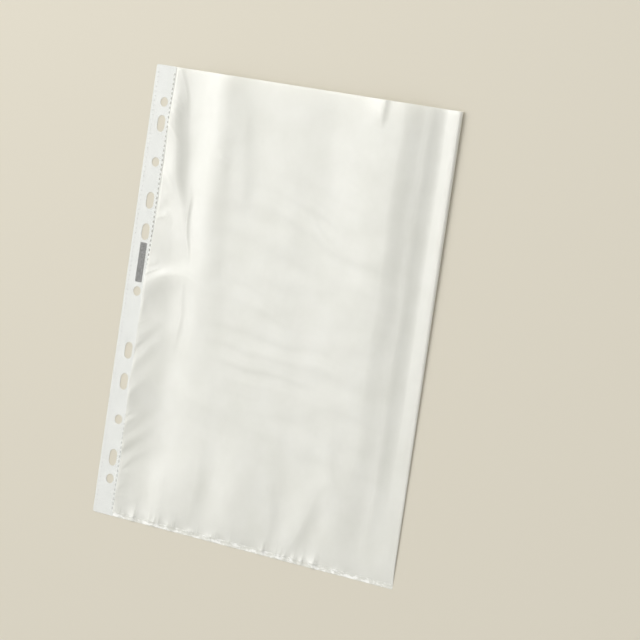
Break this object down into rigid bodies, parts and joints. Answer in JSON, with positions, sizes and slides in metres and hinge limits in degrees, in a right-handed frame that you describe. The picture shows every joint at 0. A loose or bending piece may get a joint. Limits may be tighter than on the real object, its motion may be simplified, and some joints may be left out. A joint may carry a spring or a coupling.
{
  "type": "plastic sleeve",
  "caption": "Top-loading clear plastic sleeve: a film pocket open at the top, folded at one side, with a white punched binding strip welded to the other.",
  "frame": {"origin": "middle of the sleeve's outline, on the surface it lies on", "axes": "+X from the binding strip to the folded side, +Y from the bottom weld to the open mouth, +Z off the front film"},
  "size_m": [0.235, 0.2858, 0.0062],
  "materials": {
    "film": "semi-clear polypropylene film, lightly wrinkled",
    "weld": "pressed and fused film",
    "strip": "opaque white satin film",
    "print": "thin grey ink, plain"
  },
  "bodies": {
    "binding": {"margin_film_back": "film", "binding_strip": "strip", "margin_film_front": "film", "inner_weld_dashes": "weld", "outer_weld_dots": "weld", "label_patch": "print"},
    "pocket": {"back_film": "film", "side_fold_back": "film", "side_fold_front": "film", "bottom_weld": "weld"},
    "front": {"front_film": "film"}
  },
  "joints": [
    {"name": "page_turn", "type": "hinge", "parent": "binding", "child": "pocket", "pos_m": [-0.1015, 0, 0.00012], "axis": [0, -1, 0], "range_deg": [-90, 90]},
    {"name": "mouth_open", "type": "hinge", "parent": "pocket", "child": "front", "pos_m": [0.005, -0.13987, 0.00006], "axis": [1, 0, 0], "range_deg": [0, 4]}
  ]
}
